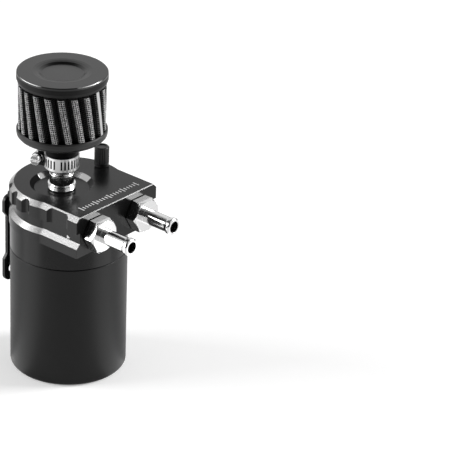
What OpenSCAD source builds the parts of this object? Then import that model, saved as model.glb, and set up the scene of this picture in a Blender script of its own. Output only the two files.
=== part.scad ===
// Oil catch can with a breather filter, a dipstick and a wall bracket.
// Millimetres. The origin is on the can's axis at the plane that the can stands on.
// The two hose ports face -Y, the bracket is at +Y and +Z is up.

/* [Can] */
// Outside radius of the can
can_r = 31.5; // [30.5:0.5:33]
// Height of the can from its base to the seam under the lid
can_h = 70; // [60:1:90]
// Wall thickness of the can
can_wall = 2.5; // [2.3:0.1:3]
// Thickness of the can's floor
can_floor = 3; // [2:0.5:5]
// Radius of the rounded edge round the can's base
base_round = 2.4; // [1:0.2:2.8]
// Height of the threaded neck that screws up into the lid
neck_h = 9; // [7:0.5:10]
// Wall thickness of the neck
neck_wall = 1.7; // [1.4:0.1:2]
// Bright chamfer on the can's shoulder
shoulder_chamfer = 0.3; // [0.2:0.1:0.8]
// Open seam between the can's shoulder and the lid's skirt
seam_gap = 0.3; // [0.2:0.05:0.5]
// Running clearance between the neck and the lid's thread bore
thread_clearance = 0.08; // [0.05:0.01:0.1]

/* [Seals] */
// Thickness of the flat seal above the can's neck
can_seal_t = 1.5; // [1:0.25:2]
// Thickness of the sealing rings under the threaded fittings
fitting_seal_t = 0.5; // [0.4:0.1:1]
// Radial width of the sealing rings under the threaded fittings
fitting_seal_w = 1.7; // [1:0.1:1.9]
// Thickness of the ring under the dipstick's knob
knob_seal_t = 0.8; // [0.6:0.1:1.2]
// Clearance on each face of a seal that lies between moving pieces
seal_gap = 0.2; // [0.1:0.05:0.3]

/* [Lid] */
// Height of the lid's round skirt
skirt_h = 14.6; // [13:0.2:17]
// Wall thickness of the skirt outside its thread bore
skirt_wall = 2.5; // [2.2:0.1:3]
// Height of the milled block above the skirt
block_h = 23.1; // [22:0.1:26]
// How far the block stands out past the skirt
block_step = 0.5; // [0.3:0.1:1]
// How far the flat port face stands out past the can's radius
port_reach = 2.8; // [1.6:0.1:6]
// How much nearer the manifold's straight sides lie than the round's edge
side_inset = 1.3; // [0.8:0.1:2]
// Width of the bright chamfers round the block
edge_chamfer = 2.6; // [2:0.1:2.8]
// Width of the fine chamfer along the top edge of the port face
face_chamfer = 0.5; // [0.3:0.1:0.8]
// Height of the plain band under the lower chamfer
lower_band_h = 5.2; // [4:0.1:5.6]
// Height of the groove between the lower chamfer and the upper flange
groove_h = 6.1; // [5:0.1:6.5]
// How much narrower the chamber is than the thread bore, which gives the seal its seat
chamber_step = 2; // [1.8:0.1:2.2]
// Thickness of the lid's roof over the chamber
roof_t = 9.7; // [9:0.1:10.5]

/* [Lid scallops] */
// Depth of the long pocket in each side of the upper flange
pocket_depth = 1.8; // [1:0.1:2.2]
// Distance from the port face to the start of the side pocket
pocket_start = 6.3; // [5:0.1:8]
// Length of the side pocket
pocket_len = 15.5; // [12:0.5:17]
// Radius of the half-round flutes and of the side pocket's ends
flute_r = 3.2; // [2.6:0.1:3.6]
// Angle from the X axis back to the first flute
first_flute = 3; // [1:0.5:5]
// Angle between neighbouring flutes
flute_pitch = 19.3; // [18:0.1:21]
// Number of flutes on each side
flute_count = 3; // [2:1:3]

/* [Ports] */
// Distance of each port from the middle of the port face
port_x = 16.4; // [15:0.1:17]
// Depth of the port's axis below the lid's top
port_drop = 12.4; // [11.5:0.1:13]
// Radius of the port's thread bore
port_bore_r = 6.6; // [6.3:0.1:6.8]
// Clearance between a threaded shank and its bore
shank_clearance = 0.05; // [0.03:0.01:0.1]
// Length of the fitting's shank inside the lid
port_shank_len = 9.5; // [8:0.5:10.5]
// Width across the flats of the fitting's hexagon
hex_af = 17; // [17:0.5:18]
// Thickness of the fitting's hexagon
hex_t = 6.4; // [5:0.1:8]
// Outside radius of the hose tube
hose_tube_r = 4.2; // [4:0.1:4.5]
// Bore radius of the hose tube
hose_bore_r = 3.1; // [3:0.05:3.3]
// Length of the hose tube in front of the hexagon
hose_tube_len = 18.8; // [16:0.2:24]
// How far the bead at the hose tube's end stands out
bead_out = 0.6; // [0.4:0.1:0.8]
// Length of the bead's widest part
bead_land = 1.2; // [1:0.1:1.6]

/* [Breather fitting] */
// Distance of the filter's axis from the can's axis, along X
filter_x = -5; // [-6:0.1:-4]
// Distance of the filter's axis from the can's axis, along Y
filter_y = 0.9; // [0:0.1:2]
// Radius of the round recess in the lid's top, over its sloping wall
recess_r = 17; // [16:0.5:18]
// Depth of that recess
recess_depth = 2.5; // [2:0.1:3]
// Radius of the fitting's round collar
collar_r = 7.4; // [7.3:0.05:9]
// Height of the collar
collar_h = 2.7; // [2.5:0.1:4]
// Depth of the three fine grooves round the collar
collar_groove = 0.3; // [0.2:0.05:0.4]
// Radius of the round shoulder above the collar
barb_shoulder_r = 6.6; // [6.2:0.1:7]
// Height of that shoulder
barb_shoulder_h = 6.1; // [4:0.1:7]
// Outside radius of the fitting's tube
breather_tube_r = 5.65; // [5.5:0.05:5.8]
// Bore radius of the fitting's tube
breather_bore_r = 4.2; // [3.5:0.1:4.6]
// Length of tube that shows between the collar and the filter's neck
tube_show = 8.9; // [7.5:0.1:10]
// Length of tube inside the filter's neck
tube_grip = 14; // [12:0.5:15]
// Clearance between pieces that are pressed over each other
grip_clearance = 0.02; // [0.02:0.01:0.05]

/* [Filter] */
// Outside radius of the filter's rubber rings
filter_r = 24; // [23.5:0.1:25]
// Outside radius of the filter's neck
filter_neck_r = 8.6; // [8.3:0.1:9]
// Length of the filter's straight neck
filter_neck_len = 12.6; // [11.5:0.1:14]
// Height of the rubber dish between the neck and the base ring
dish_h = 5.5; // [4.5:0.1:7]
// Height of the rubber base ring
base_ring_h = 5.2; // [4:0.1:7]
// Height of the pleats that show between the rubber rings
media_show = 26.3; // [20:0.1:34]
// How far the pleats' crests lie inside the rubber rings' edge
media_inset = 1.1; // [0.9:0.1:1.5]
// Depth of a pleat from crest to valley
pleat_depth = 4.5; // [3.5:0.1:4.7]
// Number of pleats
pleat_count = 20; // [16:1:24]
// Lean of the pleats over the height that shows, in degrees
pleat_lean = 12; // [6:1:16]
// Angle of the first crest at the top of the pleats
first_crest = 220.5; // [210:0.5:230]
// Thickness of the folded medium
medium_t = 1.1; // [0.9:0.1:1.3]
// Depth to which the medium is set in the rubber rings
potting = 2; // [1.5:0.1:2.5]
// Width of the metal strip that joins the medium's ends
strip_w = 2.2; // [1.6:0.1:2.8]
// Thickness of that strip
strip_t = 0.45; // [0.3:0.05:0.6]
// Height of the rubber ring at the top
top_ring_h = 4.3; // [4:0.1:6]
// Thickness of the cap
cap_t = 1.4; // [1.2:0.1:1.8]
// Depth of the cap's dished middle
cap_dish = 1.5; // [1:0.1:1.6]
// Width of the dish's sloping wall
cap_dish_wall = 4.6; // [3.5:0.1:6]

/* [Hose clamp] */
// Thickness of the clamp's band
band_t = 0.65; // [0.5:0.05:0.8]
// Width of the band
band_w = 7.6; // [7:0.1:8.5]
// Height of the neck's end below the band
band_lift = 0.6; // [0.3:0.1:1.2]
// Number of slot places in the band
slot_count = 24; // [20:1:26]
// Angle between the slots
slot_pitch = 12; // [11:0.25:12.5]
// The slot place that is left solid, counted from the housing
plain_slot = 5; // [0:1:19]
// Width of a slot
slot_w = 0.9; // [0.7:0.05:1.1]
// Length of a slot
slot_len = 4.8; // [4:0.1:5.5]
// Direction of the worm housing, seen from the filter's axis
housing_angle = 108; // [100:1:120]
// Length of the worm housing
housing_len = 9.6; // [8:0.1:11]
// Wall thickness of the housing's round barrel
barrel_wall = 0.8; // [0.6:0.05:1]
// Radius of the worm screw
worm_r = 2.4; // [2.2:0.1:2.5]
// Width across the flats of the worm screw's head
worm_head_af = 5.5; // [5:0.1:6]
// Thickness of the worm screw's head
worm_head_t = 3; // [2:0.1:4]
// Width of the slot in the worm screw's head
worm_slot_w = 1; // [0.8:0.1:1.3]

/* [Dipstick] */
// How far the dipstick's axis lies inside the can's outside radius, along X
dipstick_inset = 5.9; // [5.8:0.05:6]
// Distance of the dipstick from the can's axis, along Y
dipstick_y = 0.6; // [-0.5:0.1:1]
// Radius of the knurled knob
knob_r = 4; // [3.6:0.1:4.4]
// Height of the knob
knob_h = 10.4; // [8:0.1:13]
// Chamfer round the knob's top
knob_chamfer = 0.6; // [0.4:0.1:1]
// Number of grooves round the knob
knurl_count = 24; // [18:1:28]
// Radius of each groove's cutter
knurl_r = 0.4; // [0.3:0.05:0.5]
// Radius of the knob's threaded shank
knob_shank_r = 2.5; // [2:0.1:2.7]
// Length of that shank
knob_shank_len = 8; // [6:0.2:9]
// Radius of the gauge rod
rod_r = 1; // [0.8:0.05:1.05]
// Height of the rod's tip above the can's floor
rod_tip_gap = 5; // [3:0.5:10]
// Depth to which the rod is pressed into the knob
rod_press = 6; // [4:0.5:8]
// Spacing of the two level notches on the rod
notch_pitch = 24; // [16:1:30]

/* [Bracket] */
// Thickness of the bracket's plate
bracket_t = 2; // [1.8:0.1:2.5]
// Gap between the can and the bracket's front face
bracket_gap = 3; // [2.8:0.1:4]
// Half the width of the bracket's two tabs
tab_half_w = 14; // [13:0.5:16]
// Half the width of the bracket's waist
waist_half_w = 11.7; // [11:0.1:12.5]
// Height of the upper tab's straight sides
upper_tab_h = 9.5; // [8.5:0.5:11]
// Height of the waist between the two shoulders
waist_h = 22.4; // [18:0.2:28]
// Height of the lower tab's straight sides
lower_tab_h = 13.5; // [11:0.5:16]
// Height of each sloping shoulder
shoulder_h = 3; // [2:0.2:4]
// Radius of the tabs' round corners
tab_round = 4; // [2:0.5:4]
// Height of the bracket's top above the block's underside
bracket_rise = 6.4; // [6.2:0.1:7]
// Spacing of the two bracket screws
bracket_screw_gap = 16; // [12:0.5:17]
// Radius of a bracket screw's shank
bracket_screw_r = 2; // [1.6:0.1:2.1]
// Length of the screw in the lid's boss
bracket_screw_grip = 6; // [4:0.5:6.5]
// Radius of a bracket screw's sunk head
bracket_head_r = 3.6; // [3.2:0.1:3.8]
// Spacing of the two mounting holes in the lower tab
mount_hole_gap = 16; // [12:0.5:17]
// Radius of a mounting hole
mount_hole_r = 2.75; // [2.2:0.05:3.3]

/* [Baffle] */
// Gap between the can's neck and the perforated baffle plate's edge
baffle_gap = 4.7; // [4.2:0.1:6]
// Thickness of the baffle plate
baffle_t = 1.2; // [1:0.1:2]
// Length of the spacers between the lid's roof and the baffle
spacer_len = 12.8; // [11:0.1:13.5]
// Outside radius of a spacer
spacer_r = 2.5; // [2.2:0.1:2.8]
// Distance of the spacers from the can's axis
spacer_ring_r = 17; // [16.8:0.1:18]
// Radius of a baffle screw's shank
baffle_screw_r = 1.5; // [1.2:0.05:1.6]
// Length of the baffle screw in the lid's roof
baffle_screw_grip = 4; // [3:0.5:4.5]
// Radius of a baffle screw's head
baffle_head_r = 2.75; // [2.4:0.05:3]
// Height of a baffle screw's head
baffle_head_h = 2; // [1.5:0.1:2.5]
// Radius of the baffle's holes
baffle_hole_r = 1.2; // [0.9:0.05:1.3]
// Distance between the rings of holes
baffle_ring_pitch = 4.6; // [4.2:0.1:4.9]
// Number of rings of holes
baffle_rings = 4; // [2:1:4]

/* [Hidden] */
$fn = 96;
// How far a cutter reaches past the face that it opens
over = 1;
// Spare depth of a screw's hole past the screw's end
hole_spare = 0.5;
// How far a sealing ring stays inside the edge of the face that presses on it
seal_inset = 0.3;

// Lid levels and radii
mouth_r = can_r - skirt_wall;
chamber_r = mouth_r - chamber_step;
port_face = can_r + port_reach;
block_r = can_r + block_step;
side_w = block_r - side_inset;
lid_z0 = can_h + seam_gap;
block_z0 = can_h + skirt_h;
lid_top = block_z0 + block_h;
band_top = block_z0 + lower_band_h;
groove_z0 = band_top + edge_chamfer;
groove_z1 = groove_z0 + groove_h;
chamber_top = lid_top - roof_t;
recess_z = lid_top - recess_depth;
port_z = lid_top - port_drop;
port_bore_y = sqrt(chamber_r * chamber_r - port_x * port_x) - over;

// Can neck and its seal
neck_r = mouth_r - thread_clearance;
neck_in_r = neck_r - neck_wall;
baffle_r = neck_in_r - baffle_gap;
neck_top = can_h + neck_h;
can_seal_z = neck_top + seal_gap;
seal_seat_z = can_seal_z + can_seal_t + seal_gap;

// Port fittings, measured along -Y from the port face
port_shank_r = port_bore_r - shank_clearance;
hex_back = port_face + fitting_seal_t;
bead_r = hose_tube_r + bead_out;

// Breather fitting and filter, measured up from the recess
collar_z = recess_z + fitting_seal_t;
neck_z0 = collar_z + collar_h + tube_show;
tube_top = neck_z0 + tube_grip;
dish_z = neck_z0 + filter_neck_len;
base_ring_z0 = dish_z + dish_h;
media_z0 = base_ring_z0 + base_ring_h;
media_z1 = media_z0 + media_show;
cap_z = media_z1 + top_ring_h;
filter_top = cap_z + cap_t;
media_r = filter_r - media_inset;
media_in_r = media_r - pleat_depth - medium_t;
// Gap between the pleats and the channel that they are potted in
channel_gap = 0.1;
ring_in_r = media_in_r - 1;
cap_dish_rim_r = ring_in_r - 0.7;
cap_dish_r = cap_dish_rim_r - cap_dish_wall;
neck_in = breather_tube_r + grip_clearance;
// Thickness of the rubber dish
rubber_t = 2.6;

// Hose clamp
band_z0 = neck_z0 + band_lift;
band_z = band_z0 + band_w / 2;
band_in_r = filter_neck_r + grip_clearance;
band_out_r = band_in_r + band_t;
barrel_in_r = worm_r + shank_clearance;
barrel_r = barrel_in_r + barrel_wall;
// The barrel's round wall sinks a little into the band, so the housing's foot can hold both
barrel_sink = 0.3;
barrel_x = band_out_r + barrel_r - barrel_sink;

// Dipstick
dipstick_x = can_r - dipstick_inset;
knob_seal_z = lid_top + seal_gap;
knob_z0 = knob_seal_z + knob_seal_t + seal_gap;
knob_hole_r = knob_shank_r + shank_clearance;
shank_z0 = knob_z0 - knob_shank_len;
rod_tip_z = can_floor + rod_tip_gap;
rod_top_z = shank_z0 + rod_press;

// Bracket
bracket_front = can_r + bracket_gap;
bracket_back = bracket_front + bracket_t;
bracket_top = block_z0 + bracket_rise;
upper_tab_z = bracket_top - upper_tab_h;
waist_z1 = upper_tab_z - shoulder_h;
waist_z0 = waist_z1 - waist_h;
lower_tab_z1 = waist_z0 - shoulder_h;
lower_tab_z0 = lower_tab_z1 - lower_tab_h;
boss_half_w = waist_half_w;
// Metal between a bracket screw's hole and the underside of the boss
boss_edge = 1.1;
boss_top = groove_z0 + edge_chamfer / 2;
bracket_screw_z = block_z0 + bracket_screw_r + boss_edge;
mount_hole_z = lower_tab_z0 + lower_tab_h / 2;
sunk_h = bracket_head_r - bracket_screw_r;

// Baffle
baffle_z1 = chamber_top - spacer_len;
baffle_z0 = baffle_z1 - baffle_t;
spacer_angles = [90, 210, 330];

// Section of the lid's block as pairs of height and inset from the outer edge
block_levels = [
  [block_z0, 0], [band_top, 0], [groove_z0, edge_chamfer], [groove_z1, edge_chamfer],
  [groove_z1, 0], [lid_top - edge_chamfer, 0], [lid_top, edge_chamfer]
];

// A ring standing on z0
module ring(r_out, r_in, z0, h) {
  translate([0, 0, z0])
    difference() {
      cylinder(r = r_out, h = h);
      translate([0, 0, -over]) cylinder(r = r_in, h = h + 2 * over);
    }
}

// Places its children at the filter's axis
module at_filter() {
  translate([filter_x, filter_y, 0]) children();
}

// Places its children at the dipstick's axis
module at_dipstick() {
  translate([dipstick_x, dipstick_y, 0]) children();
}

// Turns a shape built up along Z so that it grows along -Y from a port's mouth
module at_port(side) {
  translate([side * port_x, 0, port_z]) rotate([90, 0, 0]) children();
}

module can_body() {
  in_r = can_r - can_wall;
  taper_z = can_h - can_wall;
  color("#2b2b2d")
    rotate_extrude()
      union() {
        polygon([
          [0, 0], [can_r - base_round, 0], [can_r - base_round, base_round], [can_r, base_round],
          [can_r, can_h - shoulder_chamfer], [can_r - shoulder_chamfer, can_h], [neck_r, can_h],
          [neck_r, neck_top - shoulder_chamfer], [neck_r - shoulder_chamfer, neck_top],
          [neck_in_r, neck_top], [neck_in_r, taper_z], [in_r, taper_z - (in_r - neck_in_r)],
          [in_r, can_floor], [0, can_floor]
        ]);
        intersection() {
          translate([can_r - base_round, base_round]) circle(r = base_round);
          translate([can_r - base_round, 0]) square([base_round, base_round]);
        }
      }
}

module can_seal() {
  color("#1c1c1c") ring(mouth_r - seal_gap, neck_in_r, can_seal_z, can_seal_t);
}

// Round part and straight manifold of the block, with the chamfers and the groove in their section
module block_solid() {
  round_pts = [for (level = block_levels) [block_r - level[1], level[0]]];
  right_pts = [for (level = block_levels) [side_w - level[1], level[0]]];
  left_pts = [for (i = [len(block_levels) - 1 : -1 : 0]) [-right_pts[i][0], right_pts[i][1]]];
  rotate_extrude() polygon(concat([[0, block_z0]], round_pts, [[0, lid_top]]));
  rotate([90, 0, 0]) linear_extrude(port_face) polygon(concat(right_pts, left_pts));
}

// Half-round flutes behind the middle and the long pocket beside the manifold, on one side
module side_scallops(side) {
  h = lid_top - groove_z1 + 2 * over;
  cutter_x = side_w - pocket_depth + flute_r;
  y0 = -port_face + pocket_start + flute_r;
  y1 = y0 + pocket_len - 2 * flute_r;
  flute_ring_r = block_r - pocket_depth + flute_r;
  scale([side, 1, 1]) translate([0, 0, groove_z1 - over]) {
    for (i = [0 : flute_count - 1])
      rotate([0, 0, first_flute + i * flute_pitch])
        translate([flute_ring_r, 0, 0]) cylinder(r = flute_r, h = h);
    for (y = [y0, y1]) translate([cutter_x, y, 0]) cylinder(r = flute_r, h = h);
    translate([cutter_x - flute_r, y0, 0]) cube([2 * flute_r, y1 - y0, h]);
  }
}

module bracket_screw_places() {
  for (side = [-1, 1])
    translate([side * bracket_screw_gap / 2, bracket_front, bracket_screw_z]) rotate([90, 0, 0]) children();
}

module spacer_places() {
  for (angle = spacer_angles) rotate([0, 0, angle]) translate([spacer_ring_r, 0, 0]) children();
}

module lid_block() {
  color("#303032")
    difference() {
      union() {
        translate([0, 0, lid_z0]) cylinder(r = can_r, h = block_z0 - lid_z0 + over);
        block_solid();
        translate([-boss_half_w, 0, block_z0]) cube([2 * boss_half_w, bracket_front, boss_top - block_z0]);
      }
      side_scallops(1);
      side_scallops(-1);
      translate([0, -port_face, lid_top])
        rotate([45, 0, 0]) cube([3 * block_r, face_chamfer * sqrt(2), face_chamfer * sqrt(2)], center = true);
      translate([0, 0, lid_z0 - over]) cylinder(r = mouth_r, h = seal_seat_z - lid_z0 + over);
      translate([0, 0, lid_z0]) cylinder(r = chamber_r, h = chamber_top - lid_z0);
      at_filter() translate([0, 0, recess_z])
        cylinder(r1 = recess_r - recess_depth, r2 = recess_r + over, h = recess_depth + over);
      at_filter() translate([0, 0, chamber_top - over]) cylinder(r = port_bore_r, h = roof_t);
      at_dipstick() translate([0, 0, chamber_top - over]) cylinder(r = knob_hole_r, h = roof_t + 2 * over);
      for (side = [-1, 1])
        at_port(side) translate([0, 0, port_bore_y]) cylinder(r = port_bore_r, h = port_face);
      bracket_screw_places() translate([0, 0, -over])
        cylinder(r = bracket_screw_r + shank_clearance, h = bracket_screw_grip + over + hole_spare);
      spacer_places() translate([0, 0, chamber_top - over])
        cylinder(r = baffle_screw_r + shank_clearance, h = baffle_screw_grip + over + hole_spare);
    }
}

// Hose fitting along +Z, with z = 0 at the port face
module port_fitting() {
  hex_z = fitting_seal_t;
  tube_z = hex_z + hex_t;
  tip_z = tube_z + hose_tube_len;
  corner_r = hex_af / sqrt(3);
  flat_r = hex_af / 2;
  lip = (bead_r - hose_bore_r) / 2;
  difference() {
    union() {
      translate([0, 0, -port_shank_len]) cylinder(r = port_shank_r, h = port_shank_len + hex_z);
      intersection() {
        translate([0, 0, hex_z]) cylinder(r = corner_r, h = hex_t, $fn = 6);
        rotate_extrude()
          polygon([
            [0, hex_z], [corner_r, hex_z], [corner_r, tube_z - corner_r + flat_r],
            [flat_r, tube_z], [0, tube_z]
          ]);
      }
      rotate_extrude()
        polygon([
          [0, tube_z - over], [hose_tube_r, tube_z - over], [hose_tube_r, tip_z - lip - bead_land - 3 * bead_out],
          [bead_r, tip_z - lip - bead_land], [bead_r, tip_z - lip], [bead_r - lip, tip_z], [0, tip_z]
        ]);
    }
    translate([0, 0, -port_shank_len - over]) cylinder(r = hose_bore_r, h = port_shank_len + tip_z + 2 * over);
  }
}

// Sealing ring along +Z, with z = 0 on the face that it seals
module fitting_ring() {
  ring(port_bore_r + fitting_seal_w, port_bore_r, 0, fitting_seal_t);
}

module inlet_fitting() {
  color("#d9dadc") at_port(-1) translate([0, 0, port_face]) port_fitting();
}

module outlet_fitting() {
  color("#d9dadc") at_port(1) translate([0, 0, port_face]) port_fitting();
}

module inlet_seal() {
  color("#161616") at_port(-1) translate([0, 0, port_face]) fitting_ring();
}

module outlet_seal() {
  color("#161616") at_port(1) translate([0, 0, port_face]) fitting_ring();
}

module breather_fitting() {
  groove_pitch = collar_h / 4;
  shoulder_z = collar_z + collar_h - over;
  shoulder_top = collar_z + collar_h + barb_shoulder_h;
  shoulder_ease = 0.4;
  color("#d9dadc")
    at_filter()
      difference() {
        union() {
          translate([0, 0, chamber_top]) cylinder(r = port_shank_r, h = collar_z - chamber_top);
          translate([0, 0, collar_z]) cylinder(r = collar_r, h = collar_h);
          translate([0, 0, collar_z]) cylinder(r = breather_tube_r, h = tube_top - collar_z);
          rotate_extrude()
            polygon([
              [0, shoulder_z], [barb_shoulder_r, shoulder_z], [barb_shoulder_r, shoulder_top - shoulder_ease],
              [barb_shoulder_r - shoulder_ease, shoulder_top], [0, shoulder_top]
            ]);
        }
        for (i = [1 : 3])
          translate([0, 0, collar_z + i * groove_pitch])
            rotate_extrude()
              polygon([
                [collar_r + over, -collar_groove - over], [collar_r - collar_groove, 0],
                [collar_r + over, collar_groove + over]
              ]);
        translate([0, 0, chamber_top - over])
          cylinder(r = breather_bore_r, h = tube_top - chamber_top + 2 * over);
      }
}

module breather_seal() {
  color("#161616") at_filter() translate([0, 0, recess_z]) ring(collar_r - seal_inset, port_bore_r, 0, fitting_seal_t);
}

// Half section of the rubber base: neck, dish, ring and the channel that holds the pleats
module base_section() {
  lip_r = base_ring_h / 3;
  floor_z = media_z0 - potting;
  dish_edge_r = filter_r - 2 * lip_r;
  polygon([
    [neck_in, neck_z0], [filter_neck_r, neck_z0], [filter_neck_r, dish_z],
    [filter_neck_r + 1.5, dish_z + 1], [dish_edge_r, base_ring_z0 - 0.6],
    [filter_r - 0.7 * lip_r, base_ring_z0 + 0.35 * lip_r], [filter_r - 0.15 * lip_r, base_ring_z0 + lip_r],
    [filter_r, base_ring_z0 + 1.7 * lip_r], [filter_r, media_z0 - 0.6], [filter_r - 0.5, media_z0],
    [media_r + channel_gap, media_z0], [media_r + channel_gap, floor_z],
    [media_in_r - channel_gap, floor_z], [media_in_r - channel_gap, media_z0],
    [ring_in_r, media_z0], [ring_in_r, floor_z - 0.4], [filter_neck_r + 1.5, dish_z + 1 + rubber_t],
    [neck_in, dish_z + 1 + rubber_t]
  ]);
}

module filter_base() {
  color("#3b3b3d") at_filter() rotate_extrude() base_section();
}

// Points of one pleat, turned to its place: each corner is a half angle and a radius
function pleat_points(corners, i) = [
  for (corner = corners)
    let (angle = i * 360 / pleat_count + corner[0] * 360 / pleat_count)
      [corner[1] * cos(angle), corner[1] * sin(angle)]
];

// Closed outline of all the pleats from one pleat's corners
module pleat_outline(corners) {
  polygon([for (i = [0 : pleat_count - 1]) each pleat_points(corners, i)]);
}

module filter_media() {
  valley_r = media_r - pleat_depth;
  outer = [
    [-0.19, media_r - 0.4], [-0.11, media_r], [0.11, media_r], [0.19, media_r - 0.4],
    [0.4, valley_r], [0.6, valley_r]
  ];
  inner = [[-0.1, media_r - medium_t - 0.2], [0.1, media_r - medium_t - 0.2], [0.26, media_in_r], [0.74, media_in_r]];
  height = media_show + 2 * potting;
  lean = pleat_lean * height / media_show;
  color("#4a4a4c")
    at_filter() translate([0, 0, media_z0 - potting])
      rotate([0, 0, first_crest + pleat_lean * (media_show + potting) / media_show])
        linear_extrude(height = height, twist = lean, slices = 4, $fn = 12)
          difference() {
            pleat_outline(outer);
            pleat_outline(inner);
          }
}

module filter_seam_strip() {
  angle = strip_w / media_r * 180 / PI;
  r0 = media_r + grip_clearance;
  r1 = r0 + strip_t;
  steps = 4;
  inside = [for (i = [0 : steps]) let (a = -angle / 2 + i * angle / steps) [r0 * cos(a), r0 * sin(a)]];
  outside = [for (i = [steps : -1 : 0]) let (a = -angle / 2 + i * angle / steps) [r1 * cos(a), r1 * sin(a)]];
  strip_crest = first_crest + 3 * 360 / pleat_count;
  color("#c9cacc")
    at_filter() translate([0, 0, media_z0 + channel_gap])
      rotate([0, 0, strip_crest + pleat_lean])
        linear_extrude(height = media_show - 2 * channel_gap, twist = pleat_lean, slices = 4, $fn = 12)
          polygon(concat(inside, outside));
}

module filter_top_rim() {
  channel_z = media_z1 + potting;
  color("#3b3b3d")
    at_filter()
      rotate_extrude()
        polygon([
          [media_r + channel_gap, media_z1], [media_r + 0.4, media_z1], [filter_r, media_z1 + 1.8],
          [filter_r, cap_z], [ring_in_r, cap_z], [ring_in_r, media_z1], [media_in_r - channel_gap, media_z1],
          [media_in_r - channel_gap, channel_z], [media_r + channel_gap, channel_z]
        ]);
}

module filter_cap() {
  edge = 0.4;
  cap_r = filter_r - edge / 4;
  lip = cap_dish / 3;
  dish_wall = (cap_dish_rim_r - cap_dish_r) / 3;
  color("#505052")
    at_filter()
      rotate_extrude()
        polygon([
          [0, filter_top - cap_dish], [cap_dish_r, filter_top - cap_dish],
          [cap_dish_r + dish_wall, filter_top - lip], [cap_dish_rim_r - dish_wall, filter_top - lip / 3],
          [cap_dish_rim_r, filter_top],
          [cap_r - edge, filter_top], [cap_r, filter_top - edge], [cap_r, cap_z], [cap_dish_rim_r, cap_z],
          [cap_dish_r, cap_z - cap_dish], [0, cap_z - cap_dish]
        ]);
}

module clamp_band() {
  gap_angle = 360 - slot_pitch * (slot_count - 1);
  color("#cfd0d2")
    at_filter()
      difference() {
        ring(band_out_r, band_in_r, band_z0, band_w);
        for (i = [0 : slot_count - 1])
          if (i != plain_slot)
            rotate([0, 0, housing_angle + gap_angle / 2 + i * slot_pitch])
              translate([band_in_r - over, -slot_w / 2, band_z - slot_len / 2])
                cube([band_t + 2 * over, slot_w, slot_len]);
      }
}

// Places its children on the worm's axis, which runs along +Z there, towards the screw's head
module at_worm() {
  at_filter() rotate([0, 0, housing_angle]) translate([barrel_x, 0, band_z]) rotate([-90, 0, 0]) children();
}

module clamp_housing() {
  foot_len = housing_len - 2;
  foot_w = band_w + 0.8;
  lip_w = 0.8;
  color("#c4c5c7")
    difference() {
      union() {
        at_worm() translate([0, 0, -housing_len / 2]) cylinder(r = barrel_r, h = housing_len);
        at_filter() rotate([0, 0, housing_angle])
          translate([band_out_r - lip_w, -foot_len / 2, band_z - foot_w / 2])
            cube([barrel_x - band_out_r + lip_w, foot_len, foot_w]);
      }
      at_worm() translate([0, 0, -housing_len / 2 - over]) cylinder(r = barrel_in_r, h = housing_len + 2 * over);
      at_filter() translate([0, 0, band_z0 - 2 * over])
        cylinder(r = band_out_r + grip_clearance, h = band_w + 4 * over);
    }
}

module clamp_screw() {
  head_z = housing_len / 2 + 0.3;
  color("#d6d7d9")
    at_worm()
      difference() {
        union() {
          translate([0, 0, -housing_len / 2]) cylinder(r = worm_r, h = housing_len + 0.6);
          intersection() {
            translate([0, 0, head_z]) cylinder(r = worm_head_af / sqrt(3), h = worm_head_t, $fn = 6);
            translate([0, 0, head_z]) cylinder(r = worm_head_af / 2 + 0.25, h = worm_head_t);
          }
        }
        translate([-worm_head_af, -worm_slot_w / 2, head_z + worm_head_t - 1.2])
          cube([2 * worm_head_af, worm_slot_w, 1.2 + over]);
      }
}

module dipstick_knob() {
  dimple_r = 2 * knob_r / 3;
  top_z = knob_z0 + knob_h;
  knurl_z = knob_z0 + 1.2;
  color("#262628")
    at_dipstick()
      difference() {
        union() {
          translate([0, 0, shank_z0]) cylinder(r = knob_shank_r, h = knob_shank_len + over);
          rotate_extrude()
            polygon([
              [0, knob_z0], [knob_r, knob_z0], [knob_r, top_z - knob_chamfer],
              [knob_r - knob_chamfer, top_z], [0, top_z]
            ]);
        }
        for (i = [0 : knurl_count - 1])
          rotate([0, 0, i * 360 / knurl_count])
            translate([knob_r + knurl_r / 2, 0, knurl_z]) cylinder(r = knurl_r, h = knob_h);
        translate([0, 0, top_z - 0.5]) cylinder(r = dimple_r, h = over);
        translate([0, 0, shank_z0 - over]) cylinder(r = rod_r + grip_clearance, h = rod_press + over);
      }
}

module dipstick_rod() {
  notch = 0.25;
  notch_h = 0.8;
  color("#b8babd")
    at_dipstick()
      difference() {
        union() {
          translate([0, 0, rod_tip_z + rod_r]) cylinder(r = rod_r, h = rod_top_z - rod_tip_z - rod_r);
          translate([0, 0, rod_tip_z]) cylinder(r1 = rod_r / 2, r2 = rod_r, h = rod_r);
        }
        for (i = [0 : 1])
          translate([0, 0, rod_tip_z + 8 + i * notch_pitch]) ring(rod_r + over, rod_r - notch, 0, notch_h);
      }
}

module dipstick_seal() {
  color("#161616") at_dipstick() ring(knob_r - seal_inset, knob_hole_r + channel_gap, knob_seal_z, knob_seal_t);
}

// A tab of the bracket, drawn in X and Z, with round corners at its free end
module tab_outline(z_in, z_out) {
  way = sign(z_out - z_in);
  z_round = z_out - way * tab_round;
  translate([-tab_half_w, min(z_in, z_round)]) square([2 * tab_half_w, abs(z_round - z_in)]);
  translate([-tab_half_w + tab_round, min(z_in, z_out)])
    square([2 * (tab_half_w - tab_round), abs(z_out - z_in)]);
  for (x = [-tab_half_w + tab_round, tab_half_w - tab_round]) translate([x, z_round]) circle(r = tab_round);
}

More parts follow.
